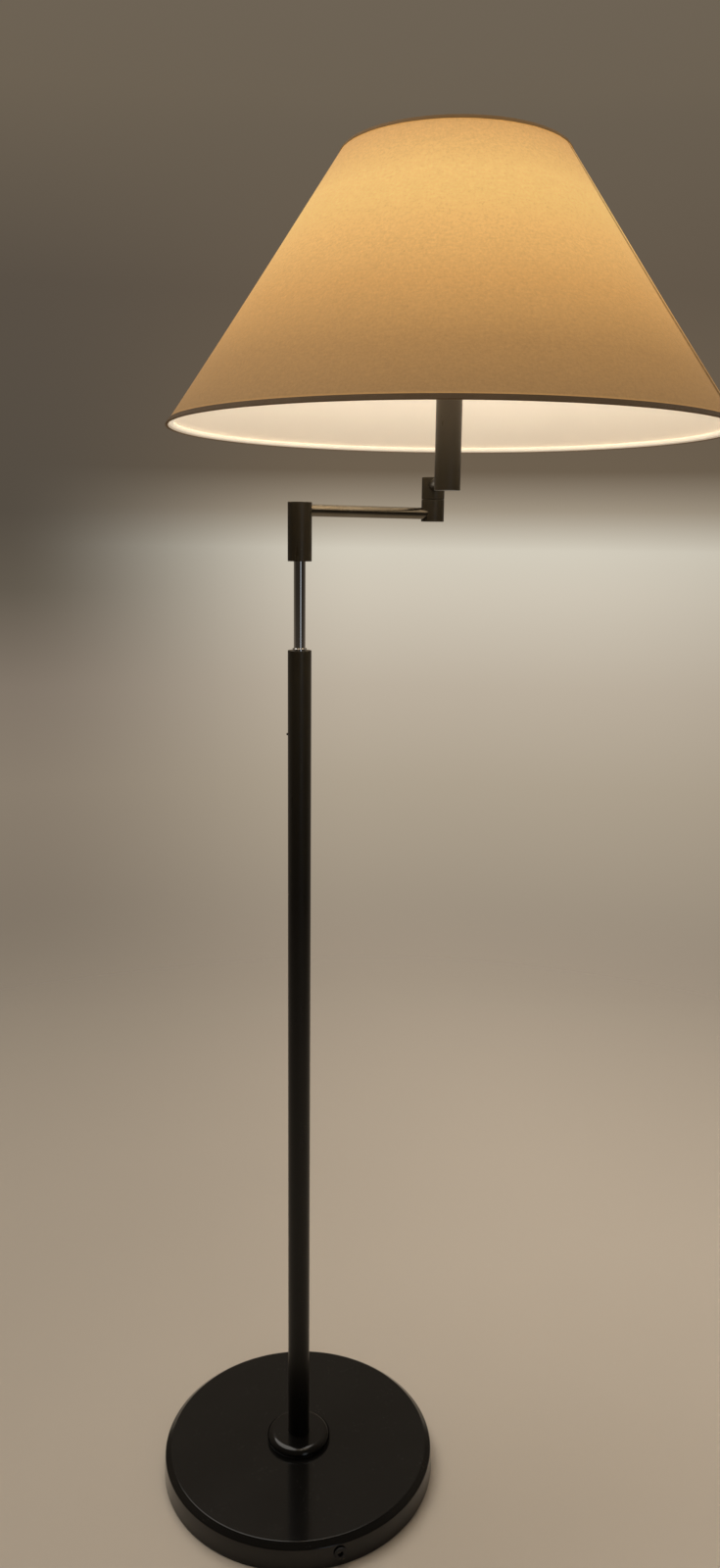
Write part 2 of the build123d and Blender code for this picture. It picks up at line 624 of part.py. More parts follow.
BULB_CAP_R = 13.2
BULB_CAP_T = 0.5
BULB_CAP_TOP_Z = SOCKET_TOP_Z + 1.5
BULB_BOTTOM_Z = INSERT_TOP_Z + 2.0
BULB_CONTACT_R = 4.0
BULB_INSULATOR_T = 2.0
BULB_NECK_BOTTOM_Z = BULB_BOTTOM_Z + 8.0
BULB_SHOULDER_Z = SOCKET_TOP_Z + 2.0

with BuildPart() as bulb_contact:
    with BuildSketch(level(HOLDER, INSERT_TOP_Z + CONTACT_T)):
        Circle(BULB_CONTACT_R)
    extrude(amount=BULB_BOTTOM_Z - INSERT_TOP_Z - CONTACT_T)
keep(bulb_contact, "bulb_contact")

with BuildPart() as bulb_insulator:
    with BuildSketch(level(HOLDER, BULB_BOTTOM_Z)):
        Circle(BULB_CAP_R - BULB_CAP_T - 2 * FIT)
    extrude(amount=BULB_INSULATOR_T)
keep(bulb_insulator, "bulb_insulator")

ring("bulb_cap", HOLDER, BULB_CAP_R, BULB_CAP_R - BULB_CAP_T, BULB_BOTTOM_Z, BULB_CAP_TOP_Z)


def bulb_outline(radius, neck_r, z_low):
    """Half of a bulb's outline: neck, a straight shoulder that touches the ball, and the ball's arc."""
    drop = BULB_CENTRE_Z - BULB_SHOULDER_Z
    span = hypot(neck_r, drop)
    reach = sqrt(span**2 - radius**2)
    # unit vector from the ball's centre to the shoulder's foot, and the square one beside it
    ux, uz = neck_r / span, -drop / span
    tx = radius / span * radius * ux + reach / span * radius * -uz
    tz = BULB_CENTRE_Z + radius / span * radius * uz + reach / span * radius * ux
    Polyline((0, z_low), (neck_r, z_low), (neck_r, BULB_SHOULDER_Z), (tx, tz))
    side = cos(radians(45))
    ThreePointArc(
        (tx, tz),
        (radius * side, BULB_CENTRE_Z + radius * side),
        (0, BULB_CENTRE_Z + radius),
    )
    Line((0, BULB_CENTRE_Z + radius), (0, z_low))


bulb_section = Plane((HOLDER[0], HOLDER[1], 0), x_dir=(1, 0, 0), z_dir=(0, -1, 0))
with BuildPart() as bulb_glass:
    with BuildSketch(bulb_section):
        with BuildLine():
            bulb_outline(BULB_R, BULB_NECK_R, BULB_NECK_BOTTOM_Z)
        make_face()
    with BuildSketch(bulb_section, mode=Mode.PRIVATE) as hollow:
        with BuildLine():
            inner_bottom = BULB_NECK_BOTTOM_Z + BULB_GLASS_T
            bulb_outline(BULB_R - BULB_GLASS_T, BULB_NECK_R - BULB_GLASS_T, inner_bottom)
        make_face()
    revolve(axis=Axis((HOLDER[0], HOLDER[1], 0), (0, 0, 1)))
    revolve(hollow.sketch, axis=Axis((HOLDER[0], HOLDER[1], 0), (0, 0, 1)), mode=Mode.SUBTRACT)
keep(bulb_glass, "bulb_glass")

# ---------------------------------------------------------------- shade

turned("shade_skin", HOLDER, [
    (SHADE_BOTTOM_R, SHADE_BOTTOM_Z),
    (SHADE_TOP_R, SHADE_TOP_Z),
    (SHADE_TOP_R - SKIN_T, SHADE_TOP_Z),
    (SHADE_BOTTOM_R - SKIN_T, SHADE_BOTTOM_Z),
])


def wire_ring(name, z):
    """A wire ring that lies inside the cone, against the skin."""
    centre_r = cone_r(z) - SKIN_T - (WIRE_R + FIT) * SLANT
    with BuildPart() as piece:
        with BuildSketch(Plane((HOLDER[0], HOLDER[1], 0), x_dir=(1, 0, 0), z_dir=(0, -1, 0))):
            with Locations((centre_r, z)):
                Circle(WIRE_R)
        revolve(axis=Axis((HOLDER[0], HOLDER[1], 0), (0, 0, 1)))
    keep(piece, name)
    return centre_r


TOP_WIRE_Z = SHADE_TOP_Z - WIRE_INSET
top_wire_r = wire_ring("shade_top_ring", TOP_WIRE_Z)
wire_ring("shade_bottom_ring", SHADE_BOTTOM_Z + WIRE_INSET)


def trim(name, edge_z, rise):
    """A tape over the skin's edge: a band on the outside and a narrow fold across the edge."""
    away = 1.0 if rise > 0 else -1.0
    lift = FIT * SLANT
    end_z = edge_z - away * TRIM_T
    turned(name, HOLDER, [
        (cone_r(edge_z + rise) + lift, edge_z + rise),
        (cone_r(edge_z + rise) + lift + TRIM_T, edge_z + rise),
        (cone_r(end_z) + lift + TRIM_T, end_z),
        (cone_r(end_z) - 2 * SKIN_T, end_z),
        (cone_r(edge_z) - 2 * SKIN_T, edge_z),
        (cone_r(edge_z) + lift, edge_z),
    ])


trim("shade_bottom_trim", SHADE_BOTTOM_Z, BOTTOM_TRIM_H)
trim("shade_top_trim", SHADE_TOP_Z, -TOP_TRIM_H)

with BuildPart() as shade_carrier:
    with BuildSketch(level(HOLDER, CARRIER_Z)):
        Circle(CARRIER_R)
        Circle(SOCKET_R + 4 * FIT, mode=Mode.SUBTRACT)
    extrude(amount=CARRIER_T)
    foot_z = CARRIER_Z + CARRIER_T / 2
    rod_l = hypot(top_wire_r - ROD_FOOT_R, TOP_WIRE_Z - foot_z) - WIRE_R - FIT
    for angle in ROD_ANGLES:
        across = Vector(cos(radians(angle)), sin(radians(angle)), 0)
        foot = Vector(HOLDER[0], HOLDER[1], foot_z) + across * ROD_FOOT_R
        head = Vector(HOLDER[0], HOLDER[1], TOP_WIRE_Z) + across * top_wire_r
        with BuildSketch(Plane(foot, z_dir=(head - foot).normalized())):
            Circle(WIRE_R)
        extrude(amount=rod_l)
keep(shade_carrier, "shade_carrier")
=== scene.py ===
import bpy
import bmesh
import json
from math import cos, hypot, pi, radians, sin
from mathutils import Matrix, Vector
import numpy as np


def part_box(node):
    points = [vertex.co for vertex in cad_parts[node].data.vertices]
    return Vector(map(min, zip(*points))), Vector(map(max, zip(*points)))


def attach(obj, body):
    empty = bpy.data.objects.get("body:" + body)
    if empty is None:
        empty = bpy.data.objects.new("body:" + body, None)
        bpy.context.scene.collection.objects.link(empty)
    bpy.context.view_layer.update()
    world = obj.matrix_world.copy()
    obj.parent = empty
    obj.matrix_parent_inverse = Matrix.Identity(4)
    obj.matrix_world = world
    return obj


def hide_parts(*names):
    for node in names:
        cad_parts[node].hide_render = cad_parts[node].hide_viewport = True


# A swing-arm floor lamp: gloss black base, black pole, chrome inner tube and arms, lit cone shade.
# Metres, +Z up, origin at the centre of the base on the floor.

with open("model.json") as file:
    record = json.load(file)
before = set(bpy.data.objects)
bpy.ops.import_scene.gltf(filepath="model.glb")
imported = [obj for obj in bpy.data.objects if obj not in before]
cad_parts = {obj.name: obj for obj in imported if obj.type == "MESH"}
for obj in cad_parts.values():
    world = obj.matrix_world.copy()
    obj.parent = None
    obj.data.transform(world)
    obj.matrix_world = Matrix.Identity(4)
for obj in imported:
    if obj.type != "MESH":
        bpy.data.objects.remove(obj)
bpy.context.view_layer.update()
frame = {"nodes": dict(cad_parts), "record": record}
nodes = frame["nodes"]
scene = bpy.context.scene

MM = 0.001

# ------------------------------------------------------------------ places, read from the frame


def upright_axis(node):
    """The (x, y) of the upright line through the middle of a turned node."""
    low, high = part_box(node)
    return ((low.x + high.x) / 2, (low.y + high.y) / 2)


def heights(node):
    """Lowest and highest z of a node."""
    low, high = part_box(node)
    return low.z, high.z


def radius(node):
    """Outer radius of a turned upright node."""
    low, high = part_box(node)
    return (high.x - low.x) / 2


POLE_AXIS = (0.0, 0.0)
ELBOW_AXIS = upright_axis("elbow_lower_shell")
HOLDER_AXIS = upright_axis("holder_tube")
BLACK_R = radius("hub_shell")

SHADE_LOW, SHADE_HIGH = heights("shade_skin")
SHADE_R_LOW = radius("shade_skin")
SKIN_T = 1.2 * MM
SHADE_R_HIGH = 110 * MM
SHADE_SLOPE = (SHADE_R_LOW - SHADE_R_HIGH) / (SHADE_HIGH - SHADE_LOW)
SHADE_SLANT = hypot(SHADE_HIGH - SHADE_LOW, SHADE_R_LOW - SHADE_R_HIGH)
SEAM_ANGLE = radians(-31)
LAP_WIDTH = 15 * MM  # of the strip where the skin's two ends overlap
SEAM_STEP = 0.3 * MM  # half of the step at each edge of that strip

# ------------------------------------------------------------------ camera, room and light

EYE = Vector((0.0, -1.307, 1.1572))
PITCH, YAW, ROLL = radians(11.673), radians(3.012), radians(0.68)
LENS_MM, SENSOR_MM = 26.977, 36.0


def add_camera():
    """Looks along a line turned YAW to the right and PITCH down, with the picture turned by ROLL."""
    ahead = Vector((sin(YAW) * cos(PITCH), cos(YAW) * cos(PITCH), -sin(PITCH)))
    level = Vector((cos(YAW), -sin(YAW), 0))
    upright = level.cross(ahead)
    right = level * cos(ROLL) + upright * sin(ROLL)
    up = upright * cos(ROLL) - level * sin(ROLL)
    data = bpy.data.cameras.new("camera")
    data.lens = LENS_MM
    data.sensor_width = SENSOR_MM
    camera = bpy.data.objects.new("camera", data)
    turn = Matrix((right, up, -ahead)).transposed().to_4x4()
    camera.matrix_world = Matrix.Translation(EYE) @ turn
    scene.collection.objects.link(camera)
    scene.camera = camera


# ------------------------------------------------------------------ shader maths


class Value:
    """A node output. Arithmetic on it adds Math nodes."""

    def __init__(self, tree, socket):
        self.tree = tree
        self.socket = socket

    def math(self, operation, *others):
        inputs = dict(enumerate((self, *others)))
        return self.tree.node("ShaderNodeMath", {"operation": operation}, inputs)

    def __add__(self, other):
        return self.math("ADD", other)

    __radd__ = __add__

    def __mul__(self, other):
        return self.math("MULTIPLY", other)

    __rmul__ = __mul__

    def __sub__(self, other):
        return self.math("SUBTRACT", other)

    def __rsub__(self, other):
        return (self * -1.0) + other

    def __truediv__(self, other):
        return self.math("DIVIDE", other)

    def sine(self):
        return self.math("SINE")

    def size(self):
        return self.math("ABSOLUTE")

    def step(self, low, high):
        """0 below low, 1 above high, smooth between. With low above high it falls instead."""
        sign = 1.0 if high > low else -1.0
        inputs = {"Value": self * sign, "From Min": low * sign, "From Max": high * sign}
        return self.tree.node("ShaderNodeMapRange", {"interpolation_type": "SMOOTHSTEP"}, inputs)


class Tree:
    """The nodes of a material or of the room, with the shader that they feed."""

    def __init__(self, owner, shader):
        owner.use_nodes = True
        self.tree = owner.node_tree
        self.shader = self.tree.nodes[shader]

    def node(self, kind, settings=None, inputs=None, output=0):
        """Any node: its settings first, then its sockets' values or links; returns one output."""
        node = self.tree.nodes.new(kind)
        for key, value in (settings or {}).items():
            if key == "stops":
                self.set_stops(node.color_ramp, value)
            else:
                setattr(node, key, value)
        for key, value in (inputs or {}).items():
            if isinstance(value, Value):
                self.tree.links.new(value.socket, node.inputs[key])
            else:
                node.inputs[key].default_value = value
        return Value(self, node.outputs[output])

    @staticmethod
    def set_stops(ramp, stops):
        while len(ramp.elements) < len(stops):
            ramp.elements.new(1.0)
        for element, (position, colour) in zip(ramp.elements, stops):
            element.position = position
            element.color = (*colour, 1.0)

    def split(self, vector):
        """The three parts of a vector."""
        first = self.node("ShaderNodeSeparateXYZ", None, {0: vector})
        return [Value(self, output) for output in first.socket.node.outputs]

    def mix(self, factor, first, second):
        """first where factor is 0, second where it is 1. Both are colours."""
        inputs = {0: factor}
        for key, colour in ((6, first), (7, second)):
            inputs[key] = colour if isinstance(colour, Value) else (*colour, 1.0)
        return self.node("ShaderNodeMix", {"data_type": "RGBA"}, inputs, 2)

    def ramp(self, factor, stops):
        return self.node("ShaderNodeValToRGB", {"stops": stops}, {0: factor})

    def scaled(self, colour, factor):
        """A colour times a number."""
        return self.node("ShaderNodeVectorMath", {"operation": "SCALE"}, {0: colour, "Scale": factor})

    def added(self, first, second):
        """The sum of two colours."""
        return self.node("ShaderNodeVectorMath", {"operation": "ADD"}, {0: first, 1: second})

    def set(self, socket, value):
        self.tree.links.new(value.socket, self.shader.inputs[socket])


class Finish(Tree):
    """A material on one Principled shader."""

    def __init__(self, name, **constants):
        self.material = bpy.data.materials.new(name)
        super().__init__(self.material, "Principled BSDF")
        for socket, value in constants.items():
            self.shader.inputs[socket.replace("_", " ")].default_value = value

    def place(self, scale=(1, 1, 1), shift=(0, 0, 0)):
        """The point on the piece, in metres, scaled and shifted."""
        point = self.node("ShaderNodeTexCoord", output="Object")
        return self.node("ShaderNodeMapping", None, {"Vector": point, "Scale": scale, "Location": shift})

    def cloth_place(self):
        """(u, v) in metres: round the piece, and along its section."""
        return self.split(self.node("ShaderNodeUVMap", {"uv_map": "metres"}))[:2]

    def noise(self, scale, detail=3.0, roughness=0.55, at=None):
        inputs = {"Scale": scale, "Detail": detail, "Roughness": roughness}
        inputs["Vector"] = at or self.place()
        return self.node("ShaderNodeTexNoise", None, inputs, "Fac")

    def specks(self, scale, threshold, at=None):
        """1 in a small round spot in some of the cells of a random grid, 0 elsewhere."""
        inputs = {"Vector": at or self.place(), "Scale": scale, "Randomness": 1.0}
        spots = self.node("ShaderNodeTexVoronoi", {"feature": "F1"}, inputs, "Distance")
        return spots.step(threshold, threshold * 0.4)

    def bump(self, height, depth, strength=1.0):
        """Raises the surface by height (0 to 1) times depth, in metres."""
        inputs = {"Height": height, "Distance": depth, "Strength": strength}
        self.set("Normal", self.node("ShaderNodeBump", None, inputs))


# ------------------------------------------------------------------ finishes


def gloss_lacquer():
    """Thick gloss black over pressed steel: orange peel, wiped dust, hair scratches."""
    f = Finish("gloss_black_lacquer", Specular_IOR_Level=0.3, Coat_Weight=0.25, Coat_Roughness=0.04)
    cloudy = f.noise(9.0, 4.0)
    dust = f.specks(330.0, 0.16) * f.noise(30.0, 2.0).step(0.5, 0.66)
    hair = f.noise(60.0, 2.0, at=f.place((1, 14, 1))).step(0.68, 0.71)
    deep = f.mix(cloudy, (0.0045, 0.0042, 0.004), (0.0085, 0.008, 0.0072))
    f.set("Base Color", f.mix(dust * 0.5, deep, (0.16, 0.15, 0.135)))
    f.set("Roughness", 0.1 + cloudy * 0.1 + hair * 0.1 + dust * 0.4)
    f.bump(f.noise(420.0, 2.0) * 0.8 + hair * 0.2, 0.03 * MM)
    return f.material


def satin_lacquer():
    """Sprayed satin black on tube: fine spray grain and rubbed specks, with a brown cast that grows with
    height, which is painted light standing for the bulb's light on the upper tubes."""
    f = Finish("satin_black_lacquer", Specular_IOR_Level=0.35)
    cloudy = f.noise(14.0, 4.0, at=f.place((1, 1, 0.35)))
    chips = f.specks(95.0, 0.055) * f.noise(7.0, 2.0).step(0.52, 0.6)
    rubbed = f.noise(130.0, 3.0, at=f.place((1, 1, 0.12))).step(0.64, 0.72)
    reach = 1.4
    # Painted light: the lacquer's base colour rises about twentyfold from the pole's foot to the upright
    # tube, lighter and browner where the bulb's light would fall.
    painted_bulb_light = f.ramp(f.split(f.place())[2] / reach, [
        (0.2, (0.004, 0.0036, 0.0028)),
        (0.54, (0.008, 0.0066, 0.0045)),
        (0.72, (0.044, 0.038, 0.026)),
        (0.84, (0.034, 0.0285, 0.0185)),
        (0.89, (0.041, 0.034, 0.0225)),
        (0.92, (0.055, 0.044, 0.03)),
        (0.96, (0.085, 0.068, 0.049)),
    ])
    lacquer_with_painted_light = f.scaled(painted_bulb_light, 0.75 + cloudy * 0.5)
    f.set("Base Color", f.mix(chips, lacquer_with_painted_light, (0.22, 0.2, 0.17)))
    f.set("Roughness", 0.24 + cloudy * 0.14 - rubbed * 0.06 + chips * 0.3)
    f.bump(f.noise(1500.0, 2.0) * 0.5 + cloudy * 0.3 - chips * 0.6, 0.03 * MM)
    return f.material


def chrome():
    """Polished chrome on drawn tube: fine haze and pin specks. From the hub up, the arms are duller and
    their base colour is painted darker and browner, as painted shade in place of dark reflections."""
    f = Finish("polished_chrome", Metallic=1.0)
    haze = f.noise(22.0, 4.0)
    pits = f.specks(260.0, 0.08) * f.noise(16.0, 2.0).step(0.5, 0.62)
    # Painted shade: from the hub's height up, the chrome's base colour turns dark brown.
    arm_painted_shade = f.split(f.place())[2].step(1150 * MM, 1175 * MM)
    chrome_with_painted_shade = f.mix(arm_painted_shade * (0.85 + haze * 0.3), (0.62, 0.61, 0.6), (0.17, 0.15, 0.118))
    f.set("Base Color", f.mix(pits, chrome_with_painted_shade, (0.14, 0.12, 0.09)))
    f.set("Roughness", 0.05 + haze * 0.08 + arm_painted_shade * 0.08 + pits * 0.35)
    f.bump(f.noise(500.0, 2.0) * 0.3 + haze * 0.7, 0.005 * MM)
    return f.material


def turned_metal(name, dark, light, rough):
    """Bare turned metal: fine tool rings along Z, stains."""
    f = Finish(name, Metallic=1.0)
    stain = f.noise(45.0, 5.0)
    rings = f.noise(1.0, 2.0, at=f.place((60, 60, 2600)))
    f.set("Base Color", f.mix(stain, dark, light))
    f.set("Roughness", rough + stain * 0.18)
    f.bump(rings, 0.02 * MM)
    return f.material


def moulded(name, dark, light, rough, grain=900.0, depth=0.03):
    """Moulded, pressed or fired plain material: fine grain and slight unevenness of colour."""
    f = Finish(name)
    cloudy = f.noise(35.0, 4.0)
    f.set("Base Color", f.mix(cloudy, dark, light))
    f.set("Roughness", rough + cloudy * 0.12)
    f.bump(f.noise(grain, 3.0), depth * MM)
    return f.material


def cast_iron():
    """Rough sand-cast surface with rust blooms."""
    f = Finish("sand_cast_iron", Metallic=0.6)
    rust = f.noise(25.0, 6.0, 0.65).step(0.5, 0.68)
    f.set("Base Color", f.mix(rust, (0.06, 0.06, 0.062), (0.16, 0.07, 0.03)))
    f.set("Roughness", 0.6 + rust * 0.3)
    f.bump(f.noise(480.0, 5.0), 0.25 * MM)
    return f.material


def felt():
    """Pressed wool felt: matted fibres."""
    f = Finish("pressed_felt", Sheen_Weight=0.4, Roughness=0.95)
    fibres = f.noise(900.0, 6.0, 0.75, at=f.place((1, 1.6, 1)))
    f.set("Base Color", f.mix(fibres, (0.012, 0.014, 0.012), (0.05, 0.055, 0.048)))
    f.bump(fibres, 0.4 * MM)
    return f.material


def weave(f, pitch):
    """Height of a plain weave, 0 to 1, with threads pitch apart, from the cloth's own metres."""
    around, along = f.cloth_place()
    wander = (f.noise(55.0, 3.0) - 0.5) * 2.2
    warp = (around * (2 * pi / pitch) + wander).sine()
    weft = (along * (2 * pi / pitch) + wander).sine()
    return (warp * weft).size() * 0.6 + (warp.size() + weft.size()) * 0.2


def lap_band(around):
    """1 on the strip where the skin lies double, just past its free edge, with the free edge itself."""
    past = (around / SHADE_R_LOW - (SEAM_ANGLE + 2 * pi)) * SHADE_R_LOW
    edge = 0.5 * MM
    return past.step(-0.4 * MM, 0.4 * MM) * past.step(LAP_WIDTH + edge, LAP_WIDTH - edge), past


def shade_cloth():
    """Cotton on stiff backing, lit from inside, with that light painted in as emission: warm, brightest high
    up, fading to the lower edge.
    """
    f = Finish("lit_shade_cloth", Roughness=0.85, Sheen_Weight=0.1, Emission_Strength=1.0)
    around, along = f.cloth_place()
    rise = along / SHADE_SLANT
    grain = weave(f, 0.9 * MM)
    slubs = f.noise(1.0, 3.0, 0.6, at=f.place((150, 150, 520)))
    cross_slubs = f.noise(1.0, 3.0, 0.6, at=f.place((520, 520, 150), (3, 1, 7)))
    mottle = f.noise(380.0, 4.0, 0.7)
    patch = f.noise(6.0, 3.0)
    neps = f.specks(120.0, 0.09) * f.noise(40.0, 2.0).step(0.56, 0.66)
    glow = f.ramp(rise, [
        (0.0, (0.225, 0.118, 0.040)),
        (0.19, (0.325, 0.165, 0.050)),
        (0.4, (0.54, 0.275, 0.078)),
        (0.6, (0.715, 0.395, 0.12)),
        (0.71, (0.765, 0.455, 0.14)),
        (0.8, (0.78, 0.465, 0.147)),
        (0.95, (0.64, 0.345, 0.11)),
        (1.0, (0.56, 0.29, 0.09)),
    ])
    # Painted light: a brighter line a few millimetres above the lower edge, just above the lower tape.
    painted_glow_line = along.step(4.6 * MM, 5.2 * MM) * along.step(8.0 * MM, 6.2 * MM)
    lap, past = lap_band(around)
    # Painted shadow: a dark line beside the lapped strip's free edge.
    lap_edge_painted_shadow = past.step(-8 * MM, -1 * MM) * past.step(1.5 * MM, 0.4 * MM)
    fleck = (mottle - 0.5) * 0.45 + (slubs - 0.5) * 0.3 + (cross_slubs - 0.5) * 0.3
    # The emission strength is the painted light through the cloth: dimmer where the skin lies double, at the
    # painted shadow line and at the neps.
    strength = 1.045 + fleck + (patch - 0.5) * 0.12 + painted_glow_line * 0.4 - lap * 0.08 - lap_edge_painted_shadow * 0.55 - neps * 0.35
    f.set("Emission Color", f.scaled(glow, strength))
    # Painted shade: the cloth's base colour is a dark brown, darker than the cream cloth, so that outside
    # light adds little to the painted glow.
    f.set("Base Color", f.mix(mottle * 0.6 + grain * 0.3, (0.16, 0.105, 0.05), (0.26, 0.18, 0.095)))
    f.bump(grain * 0.7 + slubs * 0.3 + cross_slubs * 0.3, 0.12 * MM)
    return f.material


def shade_liner():
    """Smooth cream backing inside the shade, glowing with light painted in as emission, brighter towards the
    bulb.
    """
    f = Finish("lit_cream_liner", Roughness=0.6, Emission_Strength=1.0)
    around, along = f.cloth_place()
    rise = along / SHADE_SLANT
    cloudy = f.noise(8.0, 4.0)
    glow = f.ramp(rise, [
        (0.0, (0.27, 0.22, 0.165)),
        (0.25, (0.48, 0.41, 0.32)),
        (0.6, (0.62, 0.52, 0.39)),
        (0.8, (0.66, 0.52, 0.35)),
        (1.0, (0.5, 0.37, 0.23)),
    ])
    lap = lap_band(around)[0]
    f.set("Emission Color", f.scaled(glow, 1.1 + cloudy * 0.12 - lap * 0.12))
    f.set("Base Color", f.mix(cloudy, (0.62, 0.58, 0.51), (0.68, 0.64, 0.57)))
    f.bump(f.noise(600.0, 3.0), 0.04 * MM)
    return f.material


def hem_cloth():
    """The same cream backing where it is rolled round the lower wire, facing the bulb: its glow is painted
    light in the emission, a little brighter on the pleats' crests.
    """
    f = Finish("lit_cream_hem", Roughness=0.7, Emission_Strength=1.0)
    around = f.cloth_place()[0]
    pleats = (around * (2 * pi / (2.6 * MM))).sine().size()
    cloudy = f.noise(60.0, 4.0)
    f.set("Emission Color", f.mix(cloudy * 0.6 + pleats * 0.2, (0.52, 0.44, 0.33), (0.62, 0.53, 0.41)))
    f.set("Base Color", f.mix(cloudy, (0.62, 0.58, 0.51), (0.68, 0.64, 0.57)))
    f.bump(pleats * 0.5 + f.noise(700.0, 3.0) * 0.5, 0.08 * MM)
    return f.material


def trim_tape(name, shadow, crest, through):
    """Brown cotton tape with crosswise ribs, their crests painted lighter than the troughs as painted
    shading. through is the light that comes through it.
    """
    f = Finish(name, Roughness=0.8, Sheen_Weight=0.15, Emission_Strength=1.0)
    around = f.cloth_place()[0]
    ribs = (around * (2 * pi / (1.1 * MM))).sine().size()
    worn = f.noise(40.0, 4.0)
    f.set("Base Color", f.mix(worn * 0.7 + ribs * 0.3, shadow, crest))
    f.set("Emission Color", f.scaled(through, 0.8 + worn * 0.4))
    f.bump(ribs * 0.7 + f.noise(800.0, 3.0) * 0.5, 0.15 * MM)
    return f.material


def opal_glass():
    """White-washed glass, lit by the filament."""
    f = Finish("lit_opal_glass", Roughness=0.2, Emission_Strength=30.0)
    low, high = heights("bulb_glass")
    height = f.split(f.place())[2]
    hot = height.step(low, low + (high - low) * 0.55)
    f.set("Emission Color", f.mix(hot, (0.5, 0.34, 0.18), (1.0, 0.83, 0.64)))
    f.set("Base Color", f.mix(f.noise(60.0), (0.85, 0.82, 0.76), (0.9, 0.88, 0.83)))
    return f.material


# ------------------------------------------------------------------ room


def floor_paint():
    """Plain pale floor with a very slight unevenness and a painted light that makes it about a third lighter
    towards +x; it fades out into the room far from the lamp.
    """
    f = Finish("plain_floor", Roughness=0.75)
    # Painted light: the floor's colour rises by about a third from -x to +x.
    painted_light_to_plus_x = f.split(f.place())[0].step(-0.6, 0.55)
    paint = f.mix(f.noise(0.8, 3.0), (0.56, 0.49, 0.405), (0.60, 0.525, 0.435))
    f.set("Base Color", f.scaled(paint, 0.98 + painted_light_to_plus_x * 0.34))
    away = f.node("ShaderNodeVectorMath", {"operation": "LENGTH"}, {0: f.place()}, "Value")
    f.set("Alpha", away.step(2.6, 0.75))
    return f.material


def add_room():
    """A dim room that is lighter low down and behind the lamp, where a soft pool of light lies, with a
    narrow cool window on the near side. x, y and z are the parts of the direction that is looked in."""
    world = bpy.data.worlds.new("room")
    room = Tree(world, "Background")
    x, y, z = room.split(room.node("ShaderNodeTexCoord", output="Generated"))
    lowest = 0.4
    height = z + lowest
    wall = room.ramp(height, [
        (0.04, (0.20, 0.165, 0.125)),
        (0.2, (0.25, 0.205, 0.155)),
        (0.28, (0.22, 0.18, 0.14)),
        (0.36, (0.12, 0.1, 0.075)),
        (0.42, (0.09, 0.074, 0.056)),
        (0.59, (0.1, 0.08, 0.06)),
        (0.72, (0.15, 0.12, 0.085)),
        (0.82, (0.16, 0.13, 0.095)),
        (1.0, (0.22, 0.18, 0.135)),
    ])
    pool = room.ramp(height, [
        (0.04, (0.096, 0.078, 0.06)),
        (0.2, (0.17, 0.15, 0.115)),
        (0.28, (0.28, 0.25, 0.2)),
        (0.36, (0.50, 0.46, 0.385)),
        (0.394, (0.55, 0.52, 0.44)),
        (0.426, (0.26, 0.22, 0.165)),
        (0.457, (0.06, 0.04, 0.02)),
        (0.7, (0.0, 0.0, 0.0)),
    ])
    behind = y.step(-0.4, 0.5)
    spread = x.step(-0.24, 0.06) * x.step(0.85, 0.2) * behind
    light = room.added(room.scaled(wall, 0.3 + behind * 0.7), room.scaled(pool, spread))
    window = x.step(0.2, 0.3) * x.step(0.5, 0.4) * y.step(-0.5, -0.7) * z.step(-0.25, -0.1) * z.step(0.6, 0.4)
    light = room.added(light, room.scaled(room.mix(window, (0.0, 0.0, 0.0), (0.9, 1.0, 1.12)), 0.75))
    room.set("Color", light)
    scene.world = world


def add_floor():
    """A wide plain floor under the lamp."""
    reach = 5.0
    ring = even_angles(96)
    points = np.stack([reach * np.cos(ring), reach * np.sin(ring), np.zeros(96)], axis=-1)
    mesh = bpy.data.meshes.new("floor")
    mesh.from_pydata(points.tolist(), [], [list(range(96))])
    mesh.materials.append(floor_paint())
    floor = bpy.data.objects.new("floor", mesh)
    scene.collection.objects.link(floor)


def add_soft_light(name, facing, power, spread, colour):
    """Soft even light that comes from a wide patch of sky; facing is the way it shines."""
    data = bpy.data.lights.new(name, "SUN")
    data.energy = power
    data.angle = radians(spread)
    data.color = colour
    light = bpy.data.objects.new(name, data)
    light.rotation_euler = Vector(facing).to_track_quat("-Z", "Y").to_euler()
    scene.collection.objects.link(light)


# ------------------------------------------------------------------ surfaces


def rounded(corners, arc_points=5, hold=0.35 * MM):
    """A section as an array of (radius, height). Each corner is (radius, height, rounding): the arc of
    that rounding touches both of its runs, and a point is held just outside each end of the arc, so
    that the flat beside it stays flat when it is shaded smooth."""
    count = len(corners)
    points = []
    for i, (x, z, rounding) in enumerate(corners):
        here = np.array((x, z))
        before = np.array(corners[i - 1][:2]) - here
        after = np.array(corners[(i + 1) % count][:2]) - here
        before_l, after_l = np.hypot(*before), np.hypot(*after)
        before, after = before / before_l, after / after_l
        if rounding == 0:
            points.append(here)
            continue
        half = np.arccos(np.clip(before @ after, -1, 1)) / 2
        cut = rounding / np.tan(half)
        middle = here + (before + after) / np.linalg.norm(before + after) * rounding / np.sin(half)
        first, last = here + before * cut - middle, here + after * cut - middle
        turn = np.arctan2(first[0] * last[1] - first[1] * last[0], first @ last)
        angles = np.linspace(0, turn, arc_points)[:, None]
        arc = first * np.cos(angles) + np.array((-first[1], first[0])) * np.sin(angles) + middle
        points.append(here + before * min(cut + hold, before_l * 0.49))
        points.extend(arc)
        points.append(here + after * min(cut + hold, after_l * 0.49))
    return np.array(points)


def even_angles(sides):
    return np.arange(sides) / sides * 2 * pi


